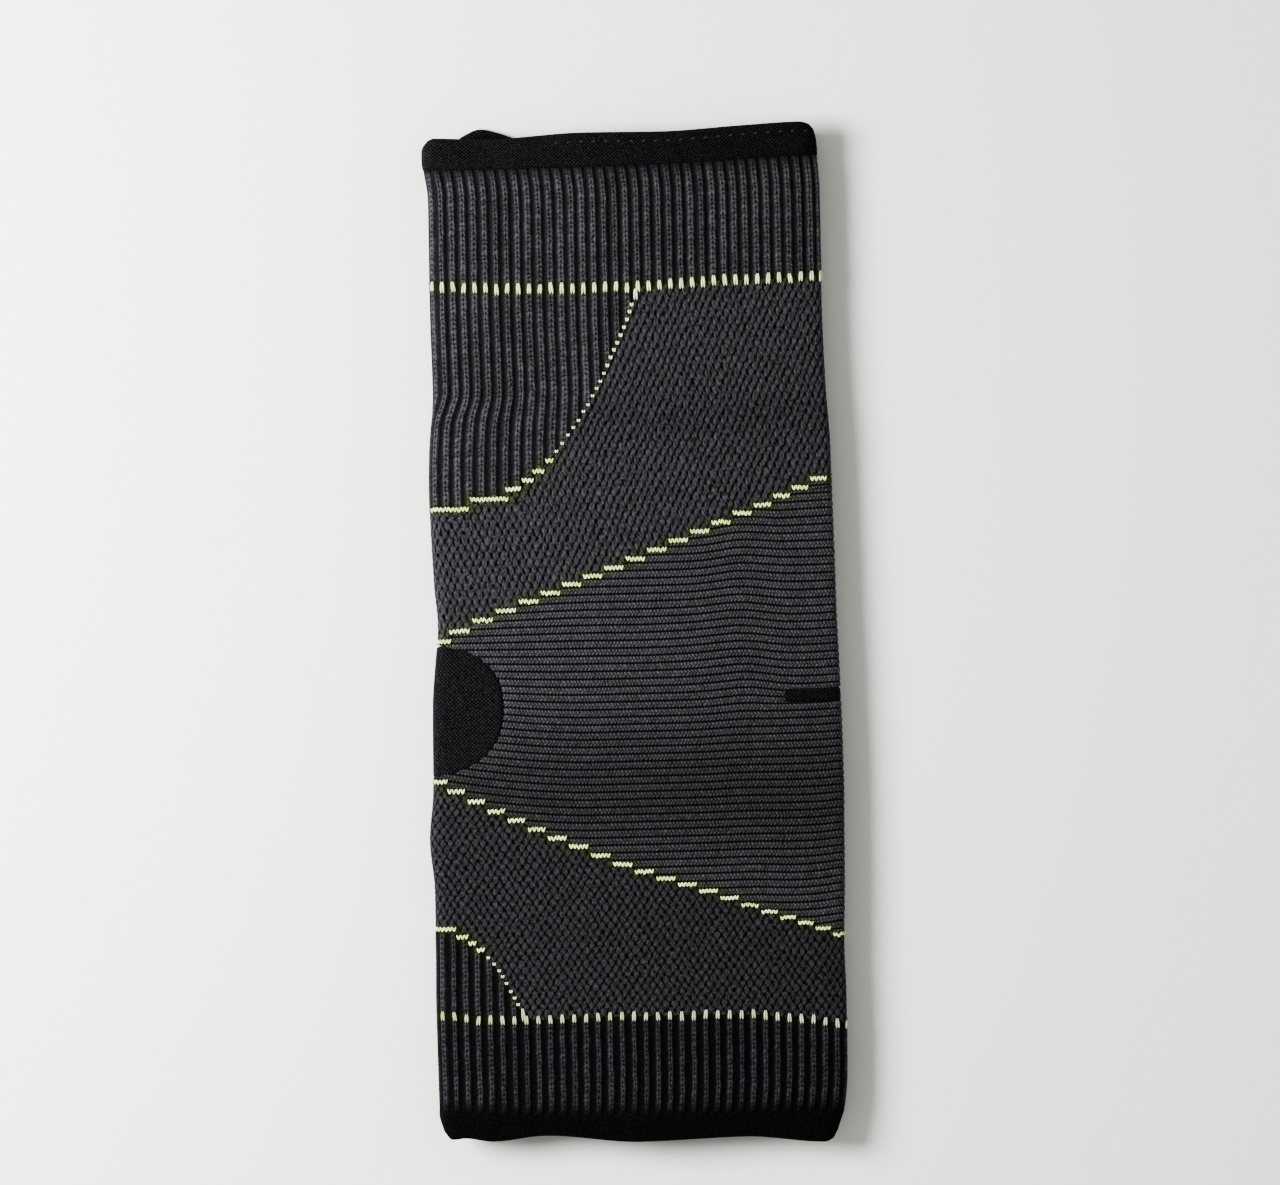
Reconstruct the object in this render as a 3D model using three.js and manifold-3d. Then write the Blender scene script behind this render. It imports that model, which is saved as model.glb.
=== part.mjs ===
// Knitted elbow support lying flat: a tube with a turned hem at each end, ribbed cuffs that run on in a
// tongue along the left fold, open mesh panels, and a cross-ribbed wedge round the joint.
// Millimetres, +Z up, length along Y. The elbow's point is on the left fold, the crook on the right fold.
import * as THREE from 'three';
import Module from 'manifold-3d';

// Cloth
const WALL = 2.0;
const FOLD_RADIUS = 5.0;
const GAP = 0.3;

// Relief of the knit
const RIBS_ROUND = 74;
const RIB_DEPTH = 0.55;
const RIB_CREST = 0.56;
const TONGUE_STEP = 3;
const RIDGE_PITCH = 1.86;
const RIDGE_DEPTH = 0.35;

// Lie of the front layer: it sags along the middle and gapes a little at both openings
const SAG = 0.6;
const GAPE = 1.3;
const HALF_LENGTH = 125;

// Outline of the flattened tube: a row for each height
const OUTLINE = [
  { y: -124, left: -47.9, right: 46.9 },
  { y: -120, left: -49.1, right: 47.6 },
  { y: -116, left: -49.9, right: 48.9 },
  { y: -108, left: -50.0, right: 49.7 },
  { y: -88, left: -50.1, right: 50.0 },
  { y: -78, left: -49.9, right: 49.8 },
  { y: -61, left: -49.8, right: 50.3 },
  { y: -49, left: -50.7, right: 50.5 },
  { y: -37, left: -49.6, right: 50.7 },
  { y: -15, left: -49.1, right: 50.5 },
  { y: -7, left: -48.4, right: 50.3 },
  { y: 4, left: -47.4, right: 50.0 },
  { y: 14, left: -48.1, right: 49.9 },
  { y: 36, left: -48.7, right: 49.6 },
  { y: 46, left: -48.4, right: 49.5 },
  { y: 61, left: -47.1, right: 48.7 },
  { y: 80, left: -47.3, right: 48.3 },
  { y: 108, left: -47.1, right: 48.4 },
  { y: 118, left: -48.2, right: 47.8 },
  { y: 125, left: -47.6, right: 47.2 },
];

// Dents and swells of the front layer: the middle of each, its reach each way and its drop
const DENTS = [
  { x: -38, y: 57, across: 13, along: 5, drop: 0.8 },
  { x: -44, y: 4, across: 8, along: 4, drop: 0.7 },
  { x: 33, y: -4, across: 6, along: 18, drop: 0.4 },
  { x: 41, y: -15, across: 8, along: 5, drop: 0.4 },
  { x: -34, y: 120, across: 9, along: 7, drop: 0.7 },
  { x: -40, y: -120, across: 6, along: 8, drop: -0.5 },
  { x: 4, y: -121, across: 16, along: 7, drop: -0.5 },
];

// Course lines across the tube: seams of both hems and the edges of both cuffs
const COURSES = [
  { x: -50, upperHem: 115.0, upperCuff: 86.9, lowerCuff: -91.6, lowerHem: -114.8 },
  { x: -37, upperHem: 115.0, upperCuff: 86.3, lowerCuff: -93.2, lowerHem: -115.4 },
  { x: -24, upperHem: 114.9, upperCuff: 85.7, lowerCuff: -93.3, lowerHem: -116.2 },
  { x: 0, upperHem: 115.0, upperCuff: 85.7, lowerCuff: -93.1, lowerHem: -116.7 },
  { x: 22, upperHem: 115.5, upperCuff: 86.9, lowerCuff: -93.2, lowerHem: -116.8 },
  { x: 36, upperHem: 116.2, upperCuff: 87.0, lowerCuff: -94.0, lowerHem: -116.8 },
  { x: 50, upperHem: 116.6, upperCuff: 87.5, lowerCuff: -96.0, lowerHem: -116.8 },
];

// Rims of the openings, on the front layer and on the back layer that shows behind it
const UPPER_RIM = [
  { x: -48.2, front: 121.2, back: 121.2 },
  { x: -46.2, front: 123.0, back: 122.6 },
  { x: -41.0, front: 122.9, back: 122.8 },
  { x: -37.0, front: 122.6, back: 124.4 },
  { x: -33.7, front: 122.5, back: 125.0 },
  { x: -30.0, front: 122.4, back: 124.1 },
  { x: -25.0, front: 122.4, back: 122.2 },
  { x: -9.6, front: 123.6, back: 122.4 },
  { x: 10.0, front: 123.4, back: 122.4 },
  { x: 29.5, front: 124.4, back: 123.0 },
  { x: 44.0, front: 125.0, back: 123.6 },
  { x: 46.6, front: 123.9, back: 123.0 },
  { x: 47.6, front: 121.3, back: 121.3 },
];
const LOWER_RIM = [
  { x: -49.9, front: -116.9, back: -116.9 },
  { x: -47.6, front: -121.6, back: -120.6 },
  { x: -44.0, front: -121.3, back: -120.8 },
  { x: -37.0, front: -122.6, back: -121.2 },
  { x: -24.5, front: -121.7, back: -121.6 },
  { x: -1.3, front: -123.8, back: -122.2 },
  { x: 24.5, front: -123.2, back: -122.6 },
  { x: 44.4, front: -125.0, back: -123.2 },
  { x: 46.0, front: -124.4, back: -123.0 },
  { x: 47.4, front: -120.8, back: -120.8 },
];

// Turned hem from its seam to its rim: share of the height, depth of the outer and of the inner face
const HEM_PROFILE = [
  { share: 0.0, outer: 0.25, inner: 2.0 },
  { share: 0.12, outer: -0.2, inner: 2.2 },
  { share: 0.8, outer: -0.25, inner: 2.3 },
  { share: 0.95, outer: 0.15, inner: 1.9 },
  { share: 1.0, outer: 0.75, inner: 1.3 },
];

// Edges of the rib tongues and of the joint panel, across the tube
const UPPER_TONGUE = [
  { x: -49.0, y: 31.6 },
  { x: -43.7, y: 32.1 },
  { x: -34.0, y: 34.3 },
  { x: -27.7, y: 36.6 },
  { x: -21.9, y: 40.9 },
  { x: -16.0, y: 47.6 },
  { x: -8.2, y: 58.9 },
  { x: -1.7, y: 72.2 },
  { x: 1.1, y: 78.6 },
  { x: 3.1, y: 85.6 },
];
const LOWER_TONGUE = [
  { x: -29.0, y: -93.2 },
  { x: -30.3, y: -89.1 },
  { x: -33.0, y: -84.0 },
  { x: -37.2, y: -77.6 },
  { x: -41.0, y: -74.1 },
  { x: -43.3, y: -72.6 },
  { x: -50.5, y: -70.6 },
].reverse();
const UPPER_DIAGONAL_MIDDLE = 18.7;
const UPPER_DIAGONAL_SLOPE = 0.397;
const LOWER_DIAGONAL = [
  { x: -51.0, y: -33.9 },
  { x: -44.2, y: -36.9 },
  { x: -29.6, y: -44.4 },
  { x: -14.6, y: -51.2 },
  { x: 1.2, y: -57.7 },
  { x: 16.9, y: -62.8 },
  { x: 31.7, y: -68.3 },
  { x: 51.0, y: -75.0 },
];

// Elbow patch and fold bar: middle height, half height, and reach over the cloth from the fold each way
const PATCH = { y: -16.9, half: 17.6, reach: 20.4 };
const BAR = { y: -15.4, half: 1.8, reach: 16.8 };

// Colours
const MELANGE = { color: 0x3b3e42, roughness: 0.95, metalness: 0 };
const BLACK_YARN = { color: 0x17181a, roughness: 0.95, metalness: 0 };

const { clamp, lerp } = THREE.MathUtils;
const manifold = await Module();
manifold.setup();

// Smooth curve through the rows of a table that never overshoots a row
function curve(rows, along, value) {
  const at = rows.map((row) => row[along]);
  const height = rows.map((row) => row[value]);
  const steps = rows.length - 1;
  const secant = rows.slice(1).map((row, i) => (height[i + 1] - height[i]) / (at[i + 1] - at[i]));
  const slope = rows.map((row, i) => {
    const before = secant[Math.max(i - 1, 0)];
    const after = secant[Math.min(i, steps - 1)];
    return before * after > 0 ? (2 * before * after) / (before + after) : 0;
  });
  return (position) => {
    const here = clamp(position, at[0], at[steps]);
    const i = Math.max(at.findIndex((next) => here <= next) - 1, 0);
    const span = at[i + 1] - at[i];
    const f = (here - at[i]) / span;
    const bend = f * f * (3 - 2 * f);
    const leave = f * (1 - f) * (1 - f) * slope[i];
    const arrive = f * f * (f - 1) * slope[i + 1];
    return lerp(height[i], height[i + 1], bend) + span * (leave + arrive);
  };
}

const leftEdge = curve(OUTLINE, 'y', 'left');
const rightEdge = curve(OUTLINE, 'y', 'right');

// Sizes of the section at one height
function section(y) {
  const left = leftEdge(y);
  const right = rightEdge(y);
  const quarter = (Math.PI * FOLD_RADIUS) / 2;
  const half = right - left - 2 * FOLD_RADIUS + 2 * quarter;
  return { left, right, quarter, half };
}

// How far the front layer stands above or below a plain flat lie
function lie(x, y) {
  const { left, right } = section(y);
  const share = (2 * x - left - right) / (right - left);
  const crown = Math.max(1 - share * share, 0);
  const dents = DENTS.map((dent) => {
    const across = (x - dent.x) / dent.across;
    const along = (y - dent.y) / dent.along;
    return dent.drop * Math.exp(-across * across - along * along);
  });
  const drop = dents.reduce((sum, dent) => sum + dent, 0);
  return crown * (GAPE * Math.abs(y / HALF_LENGTH) ** 4 - SAG) - drop * Math.sqrt(crown);
}

// Point of the cloth: way is the distance over the cloth from the left fold, as a share of half the girth,
// positive over the front and negative under the back; depth runs inwards from the outer face
function clothPoint(way, y, depth) {
  const { left, right, quarter, half } = section(y);
  const turn = ((way + 1) % 2 + 2) % 2 - 1;
  const front = turn >= 0;
  const reach = Math.abs(turn) * half;
  const radius = FOLD_RADIUS - depth;
  let x = left + FOLD_RADIUS + reach - quarter;
  let rise = 1;
  if (reach < quarter) {
    const angle = reach / FOLD_RADIUS;
    x = left + FOLD_RADIUS - radius * Math.cos(angle);
    rise = Math.sin(angle);
  }
  if (reach > half - quarter) {
    const angle = (half - reach) / FOLD_RADIUS;
    x = right - FOLD_RADIUS + radius * Math.cos(angle);
    rise = Math.sin(angle);
  }
  const z = front ? FOLD_RADIUS + rise * (radius + lie(x, y)) : FOLD_RADIUS - rise * radius;
  return new THREE.Vector3(x, y, z);
}

// Way over the cloth to a place x across the front
function wayTo(x, y) {
  const { left, right, quarter, half } = section(y);
  const into = clamp(x, left, right) - left;
  const outOf = right - clamp(x, left, right);
  if (into < FOLD_RADIUS) {
    return (FOLD_RADIUS * Math.acos(1 - into / FOLD_RADIUS)) / half;
  }
  if (outOf < FOLD_RADIUS) {
    return 1 - (FOLD_RADIUS * Math.acos(1 - outOf / FOLD_RADIUS)) / half;
  }
  return (into - FOLD_RADIUS + quarter) / half;
}

// Border lines of the zones: height at a place across, on the front or the back layer
const course = Object.fromEntries(
  Object.keys(COURSES[0]).map((name) => [name, curve(COURSES, 'x', name)]),
);
const upperTongue = curve(UPPER_TONGUE, 'x', 'y');
const lowerTongue = curve(LOWER_TONGUE, 'x', 'y');
const lowerDiagonal = curve(LOWER_DIAGONAL, 'x', 'y');
const upperDiagonal = (x) => UPPER_DIAGONAL_MIDDLE + UPPER_DIAGONAL_SLOPE * x;
const upperTip = UPPER_TONGUE[UPPER_TONGUE.length - 1].x;
const lowerTip = LOWER_TONGUE[LOWER_TONGUE.length - 1].x;
const upperMeshTop = (x) => (x < upperTip ? upperTongue(x) : course.upperCuff(x));
const lowerMeshFoot = (x) => (x < lowerTip ? lowerTongue(x) : course.lowerCuff(x));
const rimLine = (rows) => {
  const front = curve(rows, 'x', 'front');
  const back = curve(rows, 'x', 'back');
  return (x, way) => (way >= 0 ? front(x) : back(x));
};
const upperRim = rimLine(UPPER_RIM);
const lowerRim = rimLine(LOWER_RIM);

// Height at which a column of the knit meets a border, set back by half the gap to one side
function meet(border, way, side) {
  const probe = 0.05;
  let y = border(0, way);
  for (let pass = 0; pass < 12; pass += 1) {
    const { x } = clothPoint(way, y, 0);
    const slope = (border(x + probe, way) - border(x - probe, way)) / (2 * probe);
    const target = border(x, way) + side * (GAP / 2) * Math.hypot(1, slope);
    y = lerp(y, target, 0.8);
  }
  return y;
}

// Triangles that join an outer edge line to an inner one with fewer points
function stitch(outer, inner, triangles) {
  const outerLast = outer.length - 1;
  const innerLast = inner.length - 1;
  let o = 0;
  let i = 0;
  while (o < outerLast || i < innerLast) {
    const outerNext = (o + 1) / outerLast;
    const innerNext = (i + 1) / innerLast;
    if (i === innerLast || (o < outerLast && outerNext <= innerNext)) {
      triangles.push(outer[o], inner[i], outer[o + 1]);
      o += 1;
    } else {
      triangles.push(outer[o], inner[i], inner[i + 1]);
      i += 1;
    }
  }
}

// Closed wall of cloth over a grid of rows; the inner face takes only some of the columns and rows
function wall(grid, { loop = false, across = 1, along = 1 } = {}) {
  const points = [];
  const triangles = [];
  const place = (rows, depthName) => rows.map((row) => row.map((cell) => {
    const point = clothPoint(cell.way, cell.y, cell[depthName]);
    points.push(point.x, point.y, point.z);
    return points.length / 3 - 1;
  }));
  const thin = (list, step) => list.filter((item, index) => index % step === 0);
  const outer = place(grid, 'outer');
  const inner = place(thin(grid, along).map((row) => thin(row, across)), 'inner');
  const face = (rows, outwards) => {
    const closed = loop ? rows.map((row) => [...row, row[0]]) : rows;
    closed.slice(1).forEach((upper, i) => upper.slice(1).forEach((corner, j) => {
      const [a, b, c, d] = [closed[i][j], closed[i][j + 1], corner, upper[j]];
      triangles.push(...(outwards ? [a, b, c, a, c, d] : [a, c, b, a, d, c]));
    }));
    return closed;
  };
  const outerRows = face(outer, true);
  const innerRows = face(inner, false);
  const edges = (rows) => {
    const foot = rows[0];
    const head = [...rows[rows.length - 1]].reverse();
    const start = rows.map((row) => row[0]).reverse();
    const end = rows.map((row) => row[row.length - 1]);
    return loop ? [foot, head] : [foot, end, head, start];
  };
  const innerEdges = edges(innerRows);
  edges(outerRows).forEach((edge, i) => stitch(edge, innerEdges[i], triangles));
  const geometry = new THREE.BufferGeometry();
  geometry.setAttribute('position', new THREE.Float32BufferAttribute(points, 3));
  geometry.setIndex(triangles);
  geometry.computeVertexNormals();
  return geometry;
}

// Columns of the ribbed knit from one rib to another: the channel and both edges of the crest of each rib
function ribColumns(first, last) {
  const corners = [
    { at: 0, outer: RIB_DEPTH },
    { at: 0.5 - RIB_CREST / 2, outer: 0 },
    { at: 0.5 + RIB_CREST / 2, outer: 0 },
  ];
  const columns = [];
  for (let rib = first; rib < last; rib += 1) {
    corners.forEach(({ at, outer }) => columns.push({ way: ((rib + at) * 2) / RIBS_ROUND, outer }));
  }
  return columns;
}

// Columns of the plain knit: close over the two folds, then even across the front and the back
function plainColumns(flatSteps) {
  const { quarter, half } = section(0);
  const fold = quarter / half;
  const overFold = [-2 / 3, -1 / 3, 0, 1 / 3, 2 / 3].map((share) => share * fold);
  const flat = Array.from({ length: flatSteps + 1 }, (item, i) => lerp(fold, 1 - fold, i / flatSteps));
  const halfRound = [...overFold, ...flat];
  return [...halfRound, ...halfRound.map((way) => way + 1)].map((way) => ({ way, outer: 0 }));
}

// Grid between two borders
function between(columns, foot, head, strips) {
  return Array.from({ length: strips + 1 }, (row, i) => columns.map(({ way, outer }) => {
    const turn = way > 1 ? way - 2 : way;
    const low = meet(foot, turn, 1);
    const high = meet(head, turn, -1);
    return { way: turn, y: lerp(low, high, i / strips), outer, inner: WALL };
  }));
}

// Turned hem from its seam to its rim
function hemGrid(columns, seam, rim, side) {
  const rows = HEM_PROFILE.map(({ share, outer, inner }) => columns.map(({ way }) => {
    const turn = way > 1 ? way - 2 : way;
    const low = meet(seam, turn, side);
    const high = meet(rim, turn, 0);
    return { way: turn, y: lerp(low, high, share), outer: turn >= 0 ? outer : Math.max(outer, 0), inner };
  }));
  return side > 0 ? rows : rows.reverse();
}

// Ribbed tongue: the columns round the left fold, short of its tip, on which it stands tall enough to knit
function tongueGrid(foot, head, tip, strips) {
  const tall = 1.5;
  const ribs = ribColumns(-RIBS_ROUND / 2, RIBS_ROUND / 2)
    .filter(({ way }) => clothPoint(way, meet(head, way, -1), 0).x < tip)
    .filter(({ way }) => meet(head, way, -1) - meet(foot, way, 1) > tall);
  const whole = ribs.length - ((ribs.length - 1) % TONGUE_STEP);
  return between(ribs.slice(0, whole), foot, head, strips);
}

// Place across at which a border that rises or falls steadily reaches a height
function crossing(border, y) {
  const falling = border(1) < border(0);
  let low = -60;
  let high = 60;
  for (let pass = 0; pass < 40; pass += 1) {
    const middle = (low + high) / 2;
    if (border(middle) > y === falling) {
      low = middle;
    } else {
      high = middle;
    }
  }
  return low;
}

// Share of the reach of a round form that is left at a height
const roundShare = (y, middle, half) => Math.sqrt(Math.max(1 - ((y - middle) / half) ** 2, 0));

// Distances over the cloth from the right fold: close over the fold, then wide to the end of the row
function foldSteps(end, quarter) {
  const over = [0, 1 / 3, 2 / 3, 1].map((share) => share * quarter);
  const beyond = [1 / 2, 1].map((share) => lerp(quarter, end, share));
  const even = [0, 1, 2, 3, 4, 5].map((step) => (step / 5) * end);
  return end > 1.5 * quarter ? [...over, ...beyond] : even;
}

// Row round the right fold, out to the same distance on the front and the back
function foldRow(y, end, outer, inner) {
  const { quarter, half } = section(y);
  const steps = foldSteps(end, quarter);
  const distances = [...steps.slice(1).reverse().map((step) => -step), ...steps];
  return distances.map((distance) => ({ way: 1 + distance / half, y, outer, inner }));
}

// Cross-ribbed joint panel: a row for each crest and each groove
function jointGrid() {
  const shortest = 2;
  const rows = [];
  for (let step = -64; step <= 64; step += 1) {
    const y = PATCH.y + (step * RIDGE_PITCH) / 2;
    const { half } = section(y);
    const onUpper = wayTo(crossing(upperDiagonal, y + GAP / 2), y) * half;
    const onLower = wayTo(crossing(lowerDiagonal, y - GAP / 2), y) * half;
    const onPatch = (PATCH.reach + GAP) * roundShare(y, PATCH.y, PATCH.half + GAP);
    const end = half - Math.max(onUpper, onLower, onPatch) - GAP;
    if (end > shortest) {
      rows.push(foldRow(y, end, step % 2 === 0 ? 0 : RIDGE_DEPTH, WALL));
    }
  }
  return rows.length % 2 === 0 ? rows.slice(1) : rows;
}

// Round patch about the left fold, cut off by the two diagonals where it meets them
function patchGrid() {
  const columns = 9;
  const strips = 6;
  const { half } = section(PATCH.y);
  const places = Array.from({ length: 2 * columns + 1 }, (item, i) => {
    const share = Math.sin(((i - columns) / columns) * 0.96 * (Math.PI / 2));
    const way = (share * PATCH.reach) / half;
    const { x } = clothPoint(way, PATCH.y, 0);
    const tall = PATCH.half * Math.sqrt(1 - share * share);
    const low = Math.max(PATCH.y - tall, lowerDiagonal(x) + GAP);
    const high = Math.min(PATCH.y + tall, upperDiagonal(x) - GAP);
    return { way, low, high };
  });
  return Array.from({ length: strips + 1 }, (row, i) => places.map(({ way, low, high }) => (
    { way, y: lerp(low, high, i / strips), outer: 0, inner: WALL }
  )));
}

// Bar over the right fold, or the slot it lies in when it is grown by the gap
function barGrid(grow, outer, inner) {
  const low = BAR.y - BAR.half - grow;
  const high = BAR.y + BAR.half + grow;
  return [low, high].map((y) => foldRow(y, BAR.reach + grow, outer, inner));
}

// Solid with another cut out of it
function cut(geometry, tool) {
  const solid = (source) => new manifold.Manifold(new manifold.Mesh({
    numProp: 3,
    vertProperties: new Float32Array(source.getAttribute('position').array),
    triVerts: new Uint32Array(source.getIndex().array),
  }));
  const result = solid(geometry).subtract(solid(tool)).getMesh();
  const opened = new THREE.BufferGeometry();
  opened.setAttribute('position', new THREE.BufferAttribute(new Float32Array(result.vertProperties), 3));
  opened.setIndex(Array.from(result.triVerts));
  opened.computeVertexNormals();
  return opened;
}

// Pieces
const elbowSupport = new THREE.Group();
elbowSupport.name = 'elbow_support';

function addPiece(name, yarn, geometry) {
  const piece = new THREE.Mesh(geometry, new THREE.MeshStandardMaterial(yarn));
  piece.name = name;
  elbowSupport.add(piece);
}

const hemColumns = plainColumns(14);
const meshColumns = plainColumns(32);
const cuffColumns = ribColumns(0, RIBS_ROUND);
const slot = wall(barGrid(GAP, -1, WALL + 1));
const upperMesh = between(meshColumns, upperDiagonal, upperMeshTop, 2);
const lowerMesh = between(meshColumns, lowerMeshFoot, lowerDiagonal, 2);
const upperTongueGrid = tongueGrid(upperTongue, course.upperCuff, upperTip, 2);
const lowerTongueGrid = tongueGrid(course.lowerCuff, lowerTongue, lowerTip, 2);
const upperCuff = between(cuffColumns, course.upperCuff, course.upperHem, 1);
const lowerCuff = between(cuffColumns, course.lowerHem, course.lowerCuff, 1);

addPiece('upper_welt', BLACK_YARN, wall(hemGrid(hemColumns, course.upperHem, upperRim, 1), { loop: true }));
addPiece('upper_cuff', MELANGE, wall(upperCuff, { loop: true, across: 3 }));
addPiece('upper_rib_tongue', MELANGE, wall(upperTongueGrid, { across: TONGUE_STEP }));
addPiece('upper_mesh_panel', MELANGE, wall(upperMesh, { loop: true }));
addPiece('joint_panel', MELANGE, cut(wall(jointGrid(), { along: 2 }), slot));
addPiece('elbow_patch', BLACK_YARN, wall(patchGrid()));
addPiece('fold_bar', BLACK_YARN, wall(barGrid(0, 0.1, WALL)));
addPiece('lower_mesh_panel', MELANGE, wall(lowerMesh, { loop: true }));
addPiece('lower_rib_tongue', MELANGE, wall(lowerTongueGrid, { across: TONGUE_STEP }));
addPiece('lower_cuff', MELANGE, wall(lowerCuff, { loop: true, across: 3 }));
addPiece('lower_welt', BLACK_YARN, wall(hemGrid(hemColumns, course.lowerHem, lowerRim, -1), { loop: true }));

export default elbowSupport;
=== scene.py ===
# %% [markdown]
# # A knitted elbow support, lying flat
# The real thing is a tube, knitted in one run on a circular machine, which only changes its stitch and its yarn
# from zone to zone. The solids of the frame give the zones their place, and this lesson dresses each in its own
# knit: ribs, mesh, cross ribs and plain black loops, with accent stitches along the borders. We start by loading
# the frame.

# %% Load the frame
import math

import bpy
import numpy as np
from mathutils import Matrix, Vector


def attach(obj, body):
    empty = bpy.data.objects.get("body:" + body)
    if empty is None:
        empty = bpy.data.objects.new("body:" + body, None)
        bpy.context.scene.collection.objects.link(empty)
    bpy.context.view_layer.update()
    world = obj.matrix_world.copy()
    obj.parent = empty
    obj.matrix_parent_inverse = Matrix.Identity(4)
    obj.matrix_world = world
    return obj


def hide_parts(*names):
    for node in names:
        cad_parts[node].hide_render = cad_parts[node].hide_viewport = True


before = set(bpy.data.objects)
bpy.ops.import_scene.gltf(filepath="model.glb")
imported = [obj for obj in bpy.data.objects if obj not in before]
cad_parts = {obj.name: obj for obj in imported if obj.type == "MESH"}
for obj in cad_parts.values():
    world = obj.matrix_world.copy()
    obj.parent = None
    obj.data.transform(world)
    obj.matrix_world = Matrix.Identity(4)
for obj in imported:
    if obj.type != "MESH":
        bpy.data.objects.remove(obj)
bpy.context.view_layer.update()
MM = 0.001
print("zones in the frame:", sorted(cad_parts))

# %% [markdown]
# ## The lie of the tube
# An empty tube of knit lies flat with two rounded folds. It is pulled in beside the elbow's point and swells
# over the forearm. A short table holds its left and right edge at some heights, in millimetres, and a smooth
# curve runs through the rows. The curve is the monotone kind, which never swings past a row, so the outline stays
# inside the measured one.

# %% Outline and smooth curves
OUTLINE = np.array([  # height, left edge, right edge
    (-124, -48.2, 47.1), (-120, -49.4, 47.8), (-116, -50.2, 49.1), (-108, -50.3, 49.9), (-88, -50.4, 50.2),
    (-78, -50.2, 50.0), (-61, -50.1, 50.5), (-49, -51.0, 50.7), (-37, -49.9, 50.9), (-15, -49.4, 50.7),
    (-7, -48.7, 50.5), (4, -47.7, 50.2), (14, -48.4, 50.1), (36, -49.0, 49.8), (46, -48.7, 49.7),
    (61, -47.4, 48.9), (80, -47.6, 48.5), (108, -47.4, 48.6), (118, -48.5, 48.0), (125, -47.9, 47.4),
])
HALF_LENGTH, FOLD_RADIUS, FOLD_POWER, WALL = 125, 5.0, 4.0, 2.0


def ease(share):
    """From 0 to 1 with a soft start and a soft end."""
    return share * share * (3 - 2 * share)


def through(at, height):
    """Smooth curve through points that never overshoots them."""
    at, height = np.asarray(at, float), np.asarray(height, float)
    secant = np.diff(height) / np.diff(at)
    before, after = np.r_[secant[0], secant], np.r_[secant, secant[-1]]
    total = np.where(np.abs(before + after) < 1e-9, 1.0, before + after)
    slope = np.where(before * after > 0, 2 * before * after / total, 0.0)

    def curve(position):
        here = np.clip(position, at[0], at[-1])
        i = np.clip(np.searchsorted(at, here) - 1, 0, len(at) - 2)
        span = at[i + 1] - at[i]
        f = (here - at[i]) / span
        leave, arrive = f * (1 - f) ** 2 * slope[i], f * f * (f - 1) * slope[i + 1]
        return height[i] + (height[i + 1] - height[i]) * ease(f) + span * (leave + arrive)

    return curve


left_edge = through(OUTLINE[:, 0], OUTLINE[:, 1])
right_edge = through(OUTLINE[:, 0], OUTLINE[:, 2])
print("width at the joint, mm:", round(float(right_edge(-17) - left_edge(-17)), 1))

# %% [markdown]
# ## From cloth to space
# Every point of the cloth has three numbers: its way round the tube (0 at the left fold, 1 at the right fold,
# positive over the front, negative under the back), its height along the sleeve, and its depth below the outer
# face. One function turns them into a place in space, and all pieces use it, so their edges meet exactly. The
# front layer isn't flat: it sags along the middle, gapes at the openings and has a few soft dents. The folds are
# squarer than half circles, so their section is a power curve, and a table gives its length.

# %% Place a point of the cloth
bow = np.linspace(0, math.pi / 2, 400)
bow_across, bow_rise = np.cos(bow) ** (2 / FOLD_POWER), np.sin(bow) ** (2 / FOLD_POWER)
bow_run = np.r_[0, np.cumsum(np.hypot(np.diff(bow_across), np.diff(bow_rise)))]
QUARTER = FOLD_RADIUS * float(bow_run[-1])
GAPE, SAG = 1.3, 0.6  # rise of the front layer at the openings, and drop along its middle
DENTS = np.array([  # across, height, reach across, reach along, drop
    (-38, 57, 13, 5, 0.8), (-44, 4, 8, 4, 0.7), (33, -4, 6, 18, 0.4), (41, -15, 8, 5, 0.4),
    (-34, 120, 9, 7, 0.7), (-40, -120, 6, 8, -0.5), (4, -121, 16, 7, -0.5),
])


def mounds(table, x, y):
    """Sum of mounds, from rows of place across, height, reach across, reach along and size."""
    return sum(size * np.exp(-((x - cx) / rx) ** 2 - ((y - cy) / ry) ** 2) for cx, cy, rx, ry, size in table)


def lie(x, y):
    """How far the front layer stands above a plain flat lie."""
    left, right = left_edge(y), right_edge(y)
    crown = np.clip(1 - ((2 * x - left - right) / (right - left)) ** 2, 0, None)
    return crown * (GAPE * np.abs(y / HALF_LENGTH) ** 4 - SAG) - mounds(DENTS, x, y) * np.sqrt(crown)


def half_girth(y):
    return right_edge(y) - left_edge(y) - 2 * FOLD_RADIUS + 2 * QUARTER


def cloth(way, y, depth=0.0):
    """Places in millimetres of points of the cloth."""
    way, y, depth = np.broadcast_arrays(np.asarray(way, float), np.asarray(y, float), np.asarray(depth, float))
    left, right, half = left_edge(y), right_edge(y), half_girth(y)
    turn = (way + 1) % 2 - 1
    reach = np.abs(turn) * half
    radius = FOLD_RADIUS - depth
    turned = np.clip(np.minimum(reach, half - reach), 0, QUARTER) / FOLD_RADIUS
    bent, rise = np.interp(turned, bow_run, bow_across), np.interp(turned, bow_run, bow_rise)
    x = left + FOLD_RADIUS + reach - QUARTER
    x = np.where(reach < QUARTER, left + FOLD_RADIUS - radius * bent, x)
    x = np.where(half - reach < QUARTER, right - FOLD_RADIUS + radius * bent, x)
    z = np.where(turn >= 0, FOLD_RADIUS + rise * (radius + lie(x, y)), FOLD_RADIUS - rise * radius)
    return np.stack([x, y, z], axis=-1)


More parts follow.
